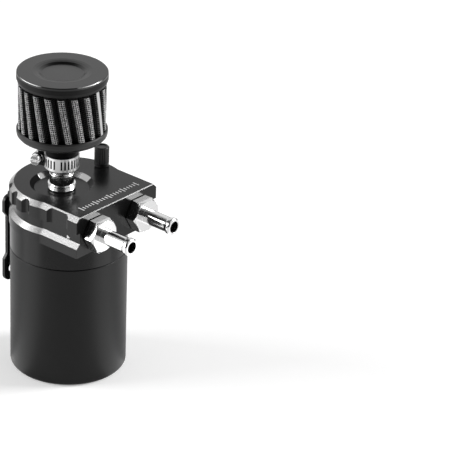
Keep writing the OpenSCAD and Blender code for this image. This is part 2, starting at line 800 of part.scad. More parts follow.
// Outline of the whole bracket: two tabs, sloping shoulders and the waist between them
module bracket_outline() {
  right_side = [
    [tab_half_w, lower_tab_z1], [waist_half_w, waist_z0], [waist_half_w, waist_z1], [tab_half_w, upper_tab_z]
  ];
  left_side = [for (i = [3 : -1 : 0]) [-right_side[i][0], right_side[i][1]]];
  tab_outline(upper_tab_z, bracket_top);
  tab_outline(lower_tab_z1, lower_tab_z0);
  polygon(concat(right_side, left_side));
}

module bracket_plate() {
  color("#29292b")
    difference() {
      translate([0, bracket_back, 0]) rotate([90, 0, 0]) linear_extrude(bracket_t) bracket_outline();
      bracket_screw_places() translate([0, 0, -bracket_t - over])
        cylinder(r = bracket_screw_r + shank_clearance, h = bracket_t + 2 * over);
      bracket_screw_places() translate([0, 0, -bracket_t])
        cylinder(r1 = bracket_head_r + shank_clearance, r2 = bracket_screw_r + shank_clearance, h = sunk_h);
      for (side = [-1, 1])
        translate([side * mount_hole_gap / 2, bracket_back + over, mount_hole_z])
          rotate([90, 0, 0]) cylinder(r = mount_hole_r, h = bracket_t + 2 * over);
    }
}

module bracket_screws() {
  socket_af = 2.5;
  color("#9a9ca0")
    bracket_screw_places()
      difference() {
        union() {
          translate([0, 0, -bracket_t]) cylinder(r = bracket_screw_r, h = bracket_t + bracket_screw_grip);
          translate([0, 0, -bracket_t]) cylinder(r1 = bracket_head_r, r2 = bracket_screw_r, h = sunk_h);
        }
        translate([0, 0, -bracket_t - over]) cylinder(r = socket_af / sqrt(3), h = over + 1.2, $fn = 6);
      }
}

module baffle_plate() {
  color("#a9abae")
    difference() {
      translate([0, 0, baffle_z0]) cylinder(r = baffle_r, h = baffle_t);
      translate([0, 0, baffle_z0 - over]) {
        cylinder(r = baffle_hole_r, h = baffle_t + 2 * over);
        for (k = [1 : baffle_rings])
          for (i = [0 : 6 * k - 1])
            let (angle = i * 60 / k + 30 / k, r = k * baffle_ring_pitch)
              if (min([for (a = spacer_angles)
                    norm([r * cos(angle) - spacer_ring_r * cos(a), r * sin(angle) - spacer_ring_r * sin(a)])])
                  > spacer_r + baffle_hole_r + 0.6)
                rotate([0, 0, angle]) translate([r, 0, 0]) cylinder(r = baffle_hole_r, h = baffle_t + 2 * over);
        spacer_places() cylinder(r = baffle_screw_r + shank_clearance, h = baffle_t + 2 * over);
      }
    }
}

module baffle_spacers() {
  color("#b5b7ba")
    spacer_places() ring(spacer_r, baffle_screw_r + shank_clearance, baffle_z1, spacer_len);
}

module baffle_screws() {
  shank_len = baffle_t + spacer_len + baffle_screw_grip;
  slot = 0.7;
  color("#9a9ca0")
    spacer_places()
      difference() {
        union() {
          translate([0, 0, baffle_z0]) cylinder(r = baffle_screw_r, h = shank_len);
          translate([0, 0, baffle_z0 - baffle_head_h]) cylinder(r = baffle_head_r, h = baffle_head_h);
        }
        translate([-baffle_head_r - over, -slot / 2, baffle_z0 - baffle_head_h - over])
          cube([2 * (baffle_head_r + over), slot, over + 1]);
      }
}

can_body();
can_seal();
lid_block();
inlet_fitting();
outlet_fitting();
inlet_seal();
outlet_seal();
breather_fitting();
breather_seal();
filter_base();
filter_media();
filter_seam_strip();
filter_top_rim();
filter_cap();
clamp_band();
clamp_housing();
clamp_screw();
dipstick_knob();
dipstick_rod();
dipstick_seal();
bracket_plate();
bracket_screws();
baffle_plate();
baffle_spacers();
baffle_screws();
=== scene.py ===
"""Oil catch can with a breather filter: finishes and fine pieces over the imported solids.

Everything is in metres in the frame of the solids: Z is the can's axis, the hose ports face -Y and the
wall bracket is at +Y. Sizes of pieces and finishes are in millimetres, and those of the studio in metres.
"""
import logging
import math
from collections.abc import Callable
from dataclasses import dataclass, field
from enum import Enum

import bmesh
import bpy
from mathutils import Matrix, Vector


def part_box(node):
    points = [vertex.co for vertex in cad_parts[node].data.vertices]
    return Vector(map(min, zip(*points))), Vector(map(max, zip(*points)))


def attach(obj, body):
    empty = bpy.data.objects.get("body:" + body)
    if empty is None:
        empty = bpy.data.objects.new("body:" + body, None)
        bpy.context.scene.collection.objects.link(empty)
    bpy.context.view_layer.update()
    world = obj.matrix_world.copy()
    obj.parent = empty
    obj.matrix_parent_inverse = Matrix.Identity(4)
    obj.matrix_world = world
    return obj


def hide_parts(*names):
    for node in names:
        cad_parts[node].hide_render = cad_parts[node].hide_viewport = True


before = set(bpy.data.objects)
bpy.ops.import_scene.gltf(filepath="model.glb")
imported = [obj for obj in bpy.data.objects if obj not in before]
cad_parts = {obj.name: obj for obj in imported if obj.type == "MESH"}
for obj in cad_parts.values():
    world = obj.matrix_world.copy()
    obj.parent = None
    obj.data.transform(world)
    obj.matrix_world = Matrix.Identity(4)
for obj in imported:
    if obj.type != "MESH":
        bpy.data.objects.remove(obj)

LOG = logging.getLogger("oil_catch_can")
MM = 0.001

# Level directions as the photograph shows the object: towards the viewer and to the right.
FRONT = (-0.772, -0.634)
RIGHT = (0.634, -0.772)

# Two copied points that are closer than this, in metres, are one.
WELD_GAP = 2e-6
# Triangles that turn by less than this, in degrees, are one flat face.
FLAT_TURN = 0.4
# Edges that turn by more than this, in degrees, are eased, in so many steps.
EASE_TURN = 28.0
EASE_STEPS = 2
# How strongly a flat's normals win over those of the eased edges beside it, as a percentage.
FLAT_WEIGHT = 80

Colour = tuple[float, float, float, float]


class Body(Enum):
    """The bodies that the added pieces move with."""

    LID = "lid_assembly"
    CAN = "can"
    DIPSTICK = "dipstick"


class Slot(Enum):
    """The record's material slots, named for each added piece."""

    ANODISED = "black_anodised"
    POLISHED = "polished_aluminium"
    STEEL = "bright_steel"
    BRACKET = "bracket_black"


class Axis(Enum):
    """The axis that a turned piece spun round in the lathe, in the order of the coordinates."""

    X = "x"
    Y = "y"
    Z = "z"


@dataclass
class Graph:
    """Writes the nodes of one shader or geometry tree."""

    tree: bpy.types.NodeTree

    def node(self, kind: str, settings: dict | None = None, inputs: dict | None = None) -> bpy.types.Node:
        """Adds a node, sets its settings first and then its sockets.

        Args:
            kind: the node's type name.
            settings: attributes of the node, such as an operation.
            inputs: socket name or number to a value, a socket, a Wire or a node.

        Returns:
            The new node.
        """
        made = self.tree.nodes.new(kind)
        for key, value in (settings or {}).items():
            setattr(made, key, value)
        for key, value in (inputs or {}).items():
            self.feed(made.inputs[key], value)
        return made

    def feed(self, socket: bpy.types.NodeSocket, value: object) -> None:
        """Links or sets one socket.

        Args:
            socket: the socket that takes the value.
            value: a number, a tuple, a socket, a Wire or a node, whose first output is meant.
        """
        if isinstance(value, Wire):
            value = value.socket
        if isinstance(value, bpy.types.Node):
            value = value.outputs[0]
        if isinstance(value, bpy.types.NodeSocket):
            self.tree.links.new(value, socket)
        else:
            socket.default_value = value

    def wire(self, socket: bpy.types.NodeSocket) -> "Wire":
        """Wraps a float socket for sums."""
        return Wire(self, socket)


@dataclass(frozen=True, eq=False)
class Wire:
    """A float socket on which Python's operators add Math nodes."""

    graph: Graph
    socket: bpy.types.NodeSocket

    def math(self, operation: str, *others: "Wire | float") -> "Wire":
        """Adds one Math node with this wire as its first value.

        Args:
            operation: the Math node's operation.
            others: the other values.

        Returns:
            The result.
        """
        values = dict(enumerate((self, *others)))
        made = self.graph.node("ShaderNodeMath", {"operation": operation}, values)
        return Wire(self.graph, made.outputs[0])

    def __add__(self, other: "Wire | float") -> "Wire":
        """Sum."""
        return self.math("ADD", other)

    __radd__ = __add__

    def __mul__(self, other: "Wire | float") -> "Wire":
        """Product."""
        return self.math("MULTIPLY", other)

    __rmul__ = __mul__

    def __sub__(self, other: "Wire | float") -> "Wire":
        """Difference."""
        return self.math("SUBTRACT", other)

    def __rsub__(self, other: float) -> "Wire":
        """Difference with a number first."""
        return (self * -1.0) + other

    def __truediv__(self, other: "Wire | float") -> "Wire":
        """Quotient."""
        return self.math("DIVIDE", other)

    def size(self) -> "Wire":
        """The value without its sign."""
        return self.math("ABSOLUTE")

    def wave(self, pitch: float) -> "Wire":
        """A sine wave between 0 and 1 along this value.

        Args:
            pitch: the length of one wave.

        Returns:
            The wave's height.
        """
        return (self * (2 * math.pi / pitch)).math("SINE") * 0.5 + 0.5

    def step(self, low: float, high: float) -> "Wire":
        """Rises smoothly from 0 to 1 between two values.

        Args:
            low: where the result starts to leave 0.
            high: where it reaches 1.

        Returns:
            The mask.
        """
        made = self.graph.node(
            "ShaderNodeMapRange", {"interpolation_type": "SMOOTHSTEP"},
            {"Value": self, "From Min": low, "From Max": high},
        )
        return Wire(self.graph, made.outputs["Result"])

    def band(self, low: float, high: float, soft: float) -> "Wire":
        """A mask that is 1 between two values.

        Args:
            low: the lower end.
            high: the upper end.
            soft: the width over which each end fades.

        Returns:
            The mask.
        """
        return self.step(low - soft, low) * (1.0 - self.step(high, high + soft))


class Surface(Graph):
    """The node tree of one finish: a Principled shader and the sums that feed it."""

    def __init__(self, name: str) -> None:
        """Makes the material.

        Args:
            name: the material's name.
        """
        self.material = bpy.data.materials.new(name)
        self.material.use_nodes = True
        super().__init__(self.material.node_tree)
        self.tree.nodes.clear()
        self.shader = self.node("ShaderNodeBsdfPrincipled")
        self.node("ShaderNodeOutputMaterial", inputs={"Surface": self.shader})
        self.coordinates = self.node("ShaderNodeTexCoord").outputs["Object"]

    def set(self, values: dict) -> None:
        """Sets or links sockets of the shader.

        Args:
            values: socket name to a value, a socket or a Wire.
        """
        for key, value in values.items():
            self.feed(self.shader.inputs[key], value)

    def position(self) -> tuple[Wire, Wire, Wire]:
        """Object coordinates in millimetres."""
        split = self.node("ShaderNodeSeparateXYZ", inputs={0: self.coordinates})
        return tuple(self.wire(out) * (1.0 / MM) for out in split.outputs)

    def around(self, centre_x: float = 0.0, centre_y: float = 0.0) -> tuple[Wire, Wire, Wire, Wire]:
        """Object coordinates in millimetres from an upright axis.

        Args:
            centre_x: where the axis stands along X.
            centre_y: where it stands along Y.

        Returns:
            The three coordinates and the distance from the axis.
        """
        x, y, z = self.position()
        x, y = x - centre_x, y - centre_y
        return x, y, z, (x * x + y * y).math("SQRT")

    def attribute(self, name: str) -> Wire:
        """The piece's own attribute of that name."""
        return self.wire(self.node("ShaderNodeAttribute", {"attribute_name": name}).outputs["Fac"])

    def noise(
        self, per_mm: float, detail: float = 3.0, stretch: tuple[float, float, float] = (1.0, 1.0, 1.0)
    ) -> Wire:
        """Noise between 0 and 1.

        Args:
            per_mm: how many waves there are on a millimetre.
            detail: the number of finer layers.
            stretch: how much faster the noise changes along each axis.

        Returns:
            The noise.
        """
        scale = tuple(per_mm / MM * s for s in stretch)
        mapping = self.node("ShaderNodeMapping", inputs={"Vector": self.coordinates, "Scale": scale})
        made = self.node(
            "ShaderNodeTexNoise",
            inputs={"Vector": mapping, "Scale": 1.0, "Detail": detail, "Roughness": 0.55},
        )
        return self.wire(made.outputs[0])

    def blend(self, mask: Wire, low: Colour | bpy.types.NodeSocket, high: Colour) -> bpy.types.NodeSocket:
        """Mixes two colours.

        Args:
            mask: 0 gives the first colour and 1 the second.
            low: the first colour, or a socket that carries it.
            high: the second colour.

        Returns:
            The colour socket.
        """
        made = self.node("ShaderNodeMix", {"data_type": "RGBA"}, {0: mask, 6: low, 7: high})
        return made.outputs[2]

    def bump(self, height: Wire, depth_mm: float) -> None:
        """Feeds a height into the shader's normal.

        Args:
            height: a height between 0 and 1.
            depth_mm: how deep a height of 1 is.
        """
        relief = {"Strength": 1.0, "Distance": depth_mm * MM, "Height": height}
        self.feed(self.shader.inputs["Normal"], self.node("ShaderNodeBump", inputs=relief))


@dataclass(frozen=True)
class Finish:
    """What every finish has: a name and a way to write its node tree."""

    name: str

    def build(self) -> bpy.types.Material:
        """Makes the material.

        Returns:
            The material.
        """
        surface = Surface(self.name)
        self.write(surface)
        return surface.material

    def write(self, s: Surface) -> None:
        """Writes the nodes.

        Args:
            s: the node tree of the finish.
        """
        raise NotImplementedError


def grey(value: float, warm: float = 0.0) -> Colour:
    """A near-neutral colour.

    Args:
        value: the colour's linear level.
        warm: how far red stands over blue, as a share.

    Returns:
        The colour with full alpha.
    """
    return (value * (1 + warm / 2), value, value * (1 - warm / 2), 1.0)


def varied(level: float, *spreads: tuple[Wire, float]) -> Wire:
    """A level that noises move up and down evenly.

    Args:
        level: the middle of the range.
        spreads: each noise, from 0 to 1, and how much of the range it takes.

    Returns:
        The varied level.
    """
    moved = [noise * amount for noise, amount in spreads]
    return sum(moved[1:], moved[0]) + (level - sum(amount for _, amount in spreads) / 2)


def dyed_black(surface: Surface, cloud: Wire, level: float) -> bpy.types.NodeSocket:
    """The black of an anodised piece, which took its dye a little unevenly.

    Args:
        surface: the finish that is being written.
        cloud: the soft patches, 0 where the dye is deep and 1 where it is thin and a little blue.
        level: the black's linear level.

    Returns:
        The colour socket.
    """
    return surface.blend(cloud, grey(level * 0.8), grey(level * 1.25, -0.04))


@dataclass(frozen=True)
class MilledAnodised(Finish):
    """Black anodised aluminium whose chamfers were cut bright after the anodising."""

    dark: float = 0.006
    dark_rough: float = 0.24
    gloss: float = 0.2
    bright: float = 0.46
    bright_rough: float = 0.26
    fine_rough: float = 0.08
    shade_rough: float = 0.65
    grain: float = 0.08
    streaks: float = 0.14

    def write(self, s: Surface) -> None:
        """Writes the nodes.

        The piece's per-face attribute is 1 on its bright cuts and painted highlights, 0.5 on its finest, which
        on the lid's recess is a painted reflection, and below 0 where painted shade makes it dull black. There
        the black is a rough metal, which has no pale sheen at a grazing angle.

        Args:
            s: the node tree of the finish.
        """
        marked = s.attribute("cut_and_painted_light")
        cut, coarse = marked.step(0.2, 0.4), marked.step(0.6, 0.9)
        # Painted shade: below 0 the black turns to a rough black metal.
        painted_shade = (marked * -1.0).step(0.0, 1.0)
        fine = s.noise(per_mm=1.4)
        streak = s.noise(per_mm=0.9, stretch=(1.0, 1.0, 9.0))
        black = dyed_black(s, s.noise(per_mm=0.12), self.dark)
        metal = s.blend(streak, grey(self.bright * 0.86, 0.01), grey(self.bright))
        rough_dark = varied(self.dark_rough, (fine, self.grain))
        coarser = self.bright_rough - self.streaks / 2 - self.fine_rough
        rough_cut = streak * self.streaks * coarse + coarse * coarser + self.fine_rough
        s.set({
            "Base Color": s.blend(cut, black, metal),
            "Metallic": cut + painted_shade,
            "Roughness": rough_dark * (1.0 - cut) + rough_cut * cut + painted_shade * self.shade_rough,
            "Specular IOR Level": self.gloss,
        })
        s.bump(fine * 0.5 + streak * coarse, depth_mm=0.006)


@dataclass(frozen=True)
class TurnedAnodised(Finish):
    """Black anodised aluminium that was turned, with a bright shoulder and a rolled thread on its neck."""

    thread_from: float
    thread_to: float
    dark: float = 0.0055
    rough: float = 0.42
    gloss: float = 0.2
    bright: float = 0.18
    cut_fade: tuple[float, float] = (0.50, 0.38)
    cut_polish: float = 0.65
    thread_pitch: float = 1.5
    thread_depth: float = 0.42
    thread_min_r: float = 28.5
    ring_share: float = 0.012

    def write(self, s: Surface) -> None:
        """Writes the nodes.

        The piece's per-face attribute is 1 on its bright cut, black again with painted shade where the lid's
        seam shades it.

        Args:
            s: the node tree of the finish.
        """
        x, y, z, radius = s.around()
        edge = s.attribute("cut_and_painted_light").step(0.4, 0.6)
        shaded = z.step(*(self.thread_from - drop for drop in self.cut_fade))
        cut = edge * (1.0 - shaded)
        turns = y.math("ARCTAN2", x) * (self.thread_pitch / (2 * math.pi))
        outside = radius.step(self.thread_min_r - 0.2, self.thread_min_r)
        on_neck = z.band(self.thread_from, self.thread_to, soft=0.3) * outside
        thread = (z + turns).wave(self.thread_pitch) * on_neck
        rings = s.noise(per_mm=1.6, detail=4.0, stretch=(0.02, 0.02, 1.0))
        cloud = s.noise(per_mm=0.09)
        s.set({
            "Base Color": s.blend(cut, dyed_black(s, cloud, self.dark), grey(self.bright)),
            "Metallic": edge,
            "Roughness": varied(self.rough, (rings, 0.12), (cloud, 0.06)) * (1.0 - cut * self.cut_polish),
            "Specular IOR Level": self.gloss,
        })
        s.bump(rings * self.ring_share + thread, depth_mm=self.thread_depth)


@dataclass(frozen=True)
class TurnedMetal(Finish):
    """Bright metal with the fine rings that a lathe leaves, and streaks on its flats."""

    axis: Axis
    bright: float = 0.90
    rough: float = 0.18
    ring_mm: float = 0.35
    grime: float = 0.25
    shadow: float = 0.01
    smear: float = 0.03

    def write(self, s: Surface) -> None:
        """Writes the nodes. The piece's per-face attribute paints shade on the metal, down to black where it
        is 1.

        Args:
            s: the node tree of the finish.
        """
        stretch = tuple(1.0 if axis is self.axis else self.smear for axis in Axis)
        rings = s.noise(per_mm=1.0 / self.ring_mm, stretch=stretch)
        fine = s.noise(per_mm=2.0, detail=2.0)
        spots = s.noise(per_mm=0.22).step(0.62, 0.85) * self.grime
        colour = s.blend(spots, grey(self.bright), grey(self.bright * 0.62, 0.02))
        s.set({
            # Painted shade: the per-face attribute mixes the colour towards black.
            "Base Color": s.blend(s.attribute("cut_and_painted_light"), colour, grey(self.shadow)),
            "Metallic": 1.0,
            "Roughness": rings * 0.10 + fine * 0.06 + spots * 0.3 + (self.rough - 0.08),
        })
        s.bump(rings * 0.8 + fine * 0.2, depth_mm=0.004)


@dataclass(frozen=True)
class MouldedRubber(Finish):
    """Black rubber from a mould, with a satin bloom and a fine grain."""

    level: float = 0.012
    rough: float = 0.46
    gloss: float = 0.3
    grain_mm: float = 0.35
    shade_below: float = 0.0
    shade_fade: float = 3.0
    shade_least: float = 0.05

    def write(self, s: Surface) -> None:
        """Writes the nodes. The rubber is painted darker and without sheen below a height, a painted shade on
        the filter's neck under its base ring and behind the clamp.

        Args:
            s: the node tree of the finish.
        """
        grain = s.noise(per_mm=1.0 / self.grain_mm)
        bloom = s.noise(per_mm=0.10, detail=4.0)
        above_shade = s.position()[2].step(self.shade_below - self.shade_fade, self.shade_below)
        lit = above_shade * (1.0 - self.shade_least) + self.shade_least
        s.set({
            "Base Color": s.blend(bloom * lit, grey(0.0), grey(self.level * 2.0, 0.03)),
            # Painted shade: below the line the rubber turns to a rough near-black metal, with no pale sheen at
            # a grazing angle.
            "Metallic": (1.0 - lit) * 0.9,
            "Roughness": varied(self.rough, (bloom, 0.16), (grain, 0.08)),
            "Specular IOR Level": self.gloss,
        })
        s.bump(grain, depth_mm=0.02)


@dataclass(frozen=True)
class PleatedCotton(Finish):
    """Oiled cotton under the gauze, darker in the valleys with painted shade."""

    centre_x: float
    centre_y: float
    crest_r: float
    valley_r: float
    level: float = 0.006

    def write(self, s: Surface) -> None:
        """Writes the nodes.

        Args:
            s: the node tree of the finish.
        """
        crest = s.around(self.centre_x, self.centre_y)[3].step(self.valley_r, self.crest_r)
        fibre = s.noise(per_mm=2.6, detail=4.0)
        lint = s.noise(per_mm=0.5, stretch=(1.0, 1.0, 0.4))
        # Painted shade: paler on the crests, darker into the valleys.
        lit_mask = crest * 0.7 + fibre * 0.3
        s.set({
            "Base Color": s.blend(lit_mask, grey(self.level * 0.12), grey(self.level, 0.05)),
            "Roughness": 0.95,
            "Specular IOR Level": 0.15,
        })
        s.bump(fibre * 0.7 + lint * 0.3, depth_mm=0.12)


@dataclass(frozen=True)
class PaintedCap(Finish):
    """Satin black paint on a pressed metal cap, with a painted highlight of bright metal on its edge."""

    centre_x: float
    centre_y: float
    top: float
    edge_r: float
    level: float = 0.004
    rough: float = 0.30
    gloss: float = 0.42
    highlight_level: float = 0.95
    highlight_width: float = 0.36
    highlight_drop: float = 0.45
    highlight_aside: tuple[float, float] = (0.5, 0.78)

    def write(self, s: Surface) -> None:
        """Writes the nodes. The edge has a painted highlight, bright bare metal, in two places at the front.

        Args:
            s: the node tree of the finish.
        """
        x, y, z, radius = s.around(self.centre_x, self.centre_y)
        # Painted highlight: two arcs of bright metal on the front of the edge.
        highlight_ring = (
            radius.step(self.edge_r - self.highlight_width, self.edge_r - self.highlight_width + 0.1)
            * z.step(self.top - self.highlight_drop, self.top - self.highlight_drop + 0.15)
        )
        front = (x * FRONT[0] + y * FRONT[1]).step(0.0, 4.0)
        aside = ((x * FRONT[1] - y * FRONT[0]) / self.edge_r).size()
        lit_mask = highlight_ring * front * aside.band(*self.highlight_aside, soft=0.14)
        peel = s.noise(per_mm=1.1, detail=2.0)
        cloud = s.noise(per_mm=0.07)
        paint = s.blend(cloud, grey(self.level * 0.92), grey(self.level * 1.08))
        s.set({
            "Base Color": s.blend(lit_mask, paint, grey(self.highlight_level)),
            "Metallic": lit_mask,
            "Roughness": peel * 0.06 + cloud * 0.05 + (self.rough - 0.05) - lit_mask * 0.12,
            "Specular IOR Level": self.gloss,
        })
        s.bump(peel, depth_mm=0.008)


@dataclass(frozen=True)
class GauzeWire(Finish):
    """Steel wire with painted glints, bright on the pleats' crests and dark with painted shade in their
    valleys.
    """

    centre_x: float
    centre_y: float
    crest_r: float
    valley_r: float
    bright: float = 0.72
    rough: float = 0.55
    shade_share: float = 0.8

    def write(self, s: Surface) -> None:
        """Writes the nodes. The wire is darkened by painted shade over the lower share of the pleats' depth.

        Args:
            s: the node tree of the finish.
        """
        radius = s.around(self.centre_x, self.centre_y)[3]
        # Painted shade in the valleys, and painted glints of noise on the crests.
        crest = radius.step(self.valley_r + self.shade_share * (self.crest_r - self.valley_r), self.crest_r)
        painted_glint = s.noise(per_mm=1.1, detail=2.0).step(0.38, 0.62)
        shown = crest * (painted_glint * 0.6 + 0.4) + 0.05
        s.set({
            "Base Color": s.blend(shown, grey(0.0), grey(self.bright)),
            "Metallic": 1.0,
            "Roughness": painted_glint * -0.1 + self.rough,
        })
        s.bump(painted_glint, depth_mm=0.02)


@dataclass(frozen=True)
class PowderCoat(Finish):
    """Black powder coat with its orange peel, its tone a little uneven."""

    level: float = 0.007
    rough: float = 0.30
    gloss: float = 0.3

    def write(self, s: Surface) -> None:
        """Writes the nodes.

        Args:
            s: the node tree of the finish.
        """
        peel = s.noise(per_mm=0.9, detail=2.0)
        s.set({
            "Base Color": s.blend(s.noise(per_mm=0.08), grey(self.level * 0.8), grey(self.level * 1.3)),
            "Roughness": varied(self.rough, (peel, 0.10)),
            "Specular IOR Level": self.gloss,
        })
        s.bump(peel, depth_mm=0.03)


@dataclass(frozen=True)
class LaserMark(Finish):
    """Pale frosted metal where a laser took the black off."""

    level: float = 0.9

    def write(self, s: Surface) -> None:
        """Writes the nodes.

        Args:
            s: the node tree of the finish.
        """
        frost = s.noise(per_mm=3.0)
        s.set({
            "Base Color": s.blend(frost, grey(self.level * 0.8), grey(self.level * 1.1)),
            "Roughness": varied(0.6, (frost, 0.2)),
        })
        s.bump(frost, depth_mm=0.01)


SEAL_RUBBER = MouldedRubber("seal_rubber", level=0.008)
TURNED_UPRIGHT = TurnedMetal("turned_along_z", Axis.Z, bright=0.76, rough=0.18)


@dataclass
class Workshop:
    """Dresses pieces, ties them to their bodies and reports them."""

    made: dict[str, bpy.types.Material] = field(default_factory=dict)

    def finish(self, recipe: Finish) -> bpy.types.Material:
        """Builds a finish once and hands out the same material after that.

        Args:
            recipe: one of the finish dataclasses.

        Returns:
            Its material.
        """
        if recipe.name not in self.made:
            self.made[recipe.name] = recipe.build()
        return self.made[recipe.name]

    def dress(self, node: str, recipe: Finish) -> None:
        """Gives a CAD node its finish.

        Args:
            node: the node's name.
            recipe: the finish.
        """
        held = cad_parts[node]
        held.data.materials.clear()
        held.data.materials.append(self.finish(recipe))
        LOG.info("dressed %s", node)

    def place(self, piece: bpy.types.Object, body: Body, slot: Slot, recipe: Finish, *nodes: str) -> None:
        """Finishes an added piece and ties it to its body.

        Args:
            piece: the piece, with its place in its mesh.
            body: the body that it moves with.
            slot: not used.
            recipe: the finish.
            nodes: CAD nodes that it stands for.
        """
        piece.data.materials.clear()
        piece.data.materials.append(self.finish(recipe))
        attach(piece, body.value)
        if nodes:
            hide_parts(*nodes)
        LOG.info("placed %s on %s, %d faces", piece.name, body.value, len(piece.data.polygons))


def span(node: str) -> tuple[Vector, Vector]:
    """Lowest and highest corner of a CAD node in millimetres."""
    low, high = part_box(node)
    return low / MM, high / MM


def middle(node: str) -> Vector:
    """The level middle of a CAD node in millimetres."""
    low, high = span(node)
    return ((low + high) / 2).xy


def add_object(name: str, shape: bmesh.types.BMesh | None = None) -> bpy.types.Object:
    """Puts a piece in the scene at the origin.

    Args:
        name: the piece's name.
        shape: the shape that fills its mesh and is freed, or nothing for an empty mesh.

    Returns:
        The object.
    """
    mesh = bpy.data.meshes.new(name)
    if shape is not None:
        shape.to_mesh(mesh)
        shape.free()
    piece = bpy.data.objects.new(name, mesh)
    bpy.context.scene.collection.objects.link(piece)
    return piece


def settled(piece: bpy.types.Object) -> bpy.types.Object:
    """Turns a piece's modifiers into its plain mesh.

    Args:
        piece: the piece with live modifiers.

    Returns:
        The same piece without them.
    """
    bpy.context.view_layer.update()
    graph = bpy.context.evaluated_depsgraph_get()
    mesh = bpy.data.meshes.new_from_object(piece.evaluated_get(graph))
    piece.modifiers.clear()
    piece.data = mesh
    mesh.name = piece.name
    return piece


def eased_copy(node: str, name: str, ease_mm: float) -> bpy.types.Object:
    """Copies a CAD node with its sharp edges eased, so that they catch the light.

    Args:
        node: the node to copy.
        name: the new piece's name.
        ease_mm: the width of the eased edge.

    Returns:
        The piece, smooth on its curves and flat on its flats.
    """
    bm = bmesh.new()
    bm.from_mesh(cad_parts[node].data)
    bmesh.ops.remove_doubles(bm, verts=bm.verts, dist=WELD_GAP)
    bmesh.ops.dissolve_limit(bm, angle_limit=math.radians(FLAT_TURN), verts=bm.verts, edges=bm.edges)
    piece = add_object(name, bm)
    piece.data.shade_smooth()
    bevel = piece.modifiers.new("ease", "BEVEL")
    bevel.width = ease_mm * MM
    bevel.segments = EASE_STEPS
    bevel.limit_method = "ANGLE"
    bevel.angle_limit = math.radians(EASE_TURN)
    bevel.use_clamp_overlap = False
    bevel.miter_outer = "MITER_SHARP"
    weighted = piece.modifiers.new("weighted", "WEIGHTED_NORMAL")
    weighted.keep_sharp = True
    weighted.weight = FLAT_WEIGHT
    settled(piece)
    # A sharp mitre can stand out past the solid where three edges meet, so each point stays in its box.
    low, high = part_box(node)
    for point in piece.data.vertices:
        point.co = Vector(min(max(v, least), most) for v, least, most in zip(point.co, low, high))
    return piece


def mark_cuts_and_light(piece: bpy.types.Object, level: Callable[[Vector, Vector], float]) -> None:
    """Writes a per-face attribute, which tells a finish how each face was cut and where light or shade is
    painted on it.

    Args:
        piece: the piece.
        level: takes a face's middle in millimetres and its normal, and gives the level that the finish reads.
    """
    mesh = piece.data
    attribute = mesh.attributes.new("cut_and_painted_light", "FLOAT", "CORNER")
    values = [0.0] * len(mesh.loops)
    for face in mesh.polygons:
        marked = level(face.center / MM, face.normal)
        for loop in face.loop_indices:
            values[loop] = marked
    attribute.data.foreach_set("value", values)


class NodeRig(Graph):
    """A Geometry Nodes tree with named inputs, applied to one piece."""

    SOCKETS = {
        int: "NodeSocketInt",
        float: "NodeSocketFloat",
        tuple: "NodeSocketVector",
        bpy.types.Material: "NodeSocketMaterial",
    }

    def __init__(self, name: str) -> None:
        """Makes the tree with a geometry in and a geometry out.

        Args:
            name: the tree's name.
        """
        super().__init__(bpy.data.node_groups.new(name, "GeometryNodeTree"))
        self.tree.interface.new_socket(name="Geometry", in_out="INPUT", socket_type="NodeSocketGeometry")
        self.tree.interface.new_socket(name="Geometry", in_out="OUTPUT", socket_type="NodeSocketGeometry")
        self.values: dict[str, object] = {}
        self.source: bpy.types.Node | None = None

    def ask(self, **inputs: int | float | tuple | bpy.types.Material) -> None:
        """Adds named inputs, with the kind of socket that fits each value.

        Args:
            inputs: the inputs' names and the values that they get.
        """
        for name, value in inputs.items():
            kind = self.SOCKETS[type(value)]
            socket = self.tree.interface.new_socket(name=name, in_out="INPUT", socket_type=kind)
            self.values[socket.identifier] = value

    def given(self, name: str) -> bpy.types.NodeSocket:
        """Finds a named input in the tree's one input node.

        Args:
            name: the input's name.

        Returns:
            The input's socket.
        """
        if self.source is None:
            self.source = self.node("NodeGroupInput")
        return self.source.outputs[name]

    def copies(self, points: bpy.types.Node, shape: object, **more: object) -> bpy.types.Node:
        """Puts a copy of a shape on each point.

        Args:
            points: the node that hands out the points.
            shape: the node or socket with the geometry that is copied.
            more: other sockets, such as Scale.

        Returns:
            The node that hands out the copies.
        """
        return self.node("GeometryNodeInstanceOnPoints", inputs={"Points": points, "Instance": shape} | more)

    def close(self, geometry: bpy.types.Node) -> None:
        """Realises the instances, sets the material and ends the tree.

        Args:
            geometry: the node with the geometry to hand out.
        """
        real = self.node("GeometryNodeRealizeInstances", inputs={0: geometry})
        coating = {0: real, "Material": self.given("Material")}
        coated = self.node("GeometryNodeSetMaterial", inputs=coating)
        self.node("NodeGroupOutput", inputs={0: coated})

    def apply(self, piece: bpy.types.Object) -> bpy.types.Object:
        """Runs the tree on a piece and keeps the result as its plain mesh.

        Args:
            piece: the piece.

        Returns:
            The same piece.
        """
        modifier = piece.modifiers.new(self.tree.name, "NODES")
        modifier.node_group = self.tree
        for identifier, value in self.values.items():
            modifier[identifier] = value
        return settled(piece)


